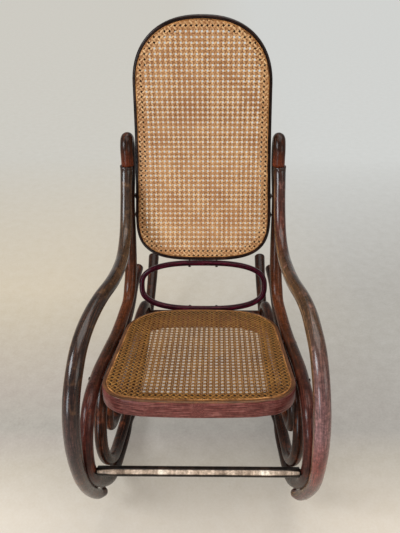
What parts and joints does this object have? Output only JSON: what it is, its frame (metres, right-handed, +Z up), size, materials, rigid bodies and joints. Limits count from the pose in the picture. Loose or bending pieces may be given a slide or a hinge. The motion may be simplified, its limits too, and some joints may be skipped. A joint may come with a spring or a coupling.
{
  "type": "bentwood rocking chair",
  "caption": "Bentwood rocking chair with scrolled side frames, bowed arms, a tall caned back, a caned seat and a painted hoop between them.",
  "frame": {"origin": "centre of the chair's box, on the floor under it", "axes": "+Z up, +Y towards the back of the chair, +X to the right seen from the front"},
  "size_m": [0.5433, 1.0608, 1.0749],
  "materials": {
    "dark_wood": "dark brown varnish, glossy, worn thin on the bends",
    "worn_wood": "dark brown varnish, worn to olive brown and red by hands",
    "red_wood": "reddish brown varnish with a tan worn top edge",
    "burgundy_wood": "glossy burgundy paint",
    "pale_wood": "dark varnish worn down to pale beech",
    "raw_wood": "bare beech",
    "back_cane": "light tan woven cane, satin",
    "seat_cane": "golden brown woven cane, satin",
    "reed": "split reed, satin",
    "screw": "darkened steel"
  },
  "bodies": {
    "root": {"side_rod_left": "dark_wood", "arm_left": "worn_wood", "scroll_left": "dark_wood", "side_rod_right": "dark_wood", "arm_right": "worn_wood", "scroll_right": "dark_wood", "seat_frame": "red_wood", "seat_reed": "reed", "seat_cane": "seat_cane", "back_frame": "dark_wood", "back_reed": "reed", "back_cane": "back_cane", "lumbar_hoop": "burgundy_wood", "hoop_top_screw_left": "screw", "hoop_foot_screw_left": "screw", "hoop_top_screw_right": "screw", "hoop_foot_screw_right": "screw", "seat_screw_left_1": "screw", "seat_spacer_left_1": "dark_wood", "seat_screw_left_2": "screw", "seat_spacer_left_2": "dark_wood", "back_screw_left_1": "screw", "back_spacer_left_1": "dark_wood", "back_screw_left_2": "screw", "back_spacer_left_2": "dark_wood", "arm_dowel_left": "raw_wood", "arm_tip_screw_left": "screw", "scroll_rail_screw_left": "screw", "scroll_foot_screw_left": "screw", "seat_screw_right_1": "screw", "seat_spacer_right_1": "dark_wood", "seat_screw_right_2": "screw", "seat_spacer_right_2": "dark_wood", "back_screw_right_1": "screw", "back_spacer_right_1": "dark_wood", "back_screw_right_2": "screw", "back_spacer_right_2": "dark_wood", "arm_dowel_right": "raw_wood", "arm_tip_screw_right": "screw", "scroll_rail_screw_right": "screw", "scroll_foot_screw_right": "screw", "front_stretcher": "pale_wood", "rear_stretcher": "dark_wood"}
  },
  "joints": []
}
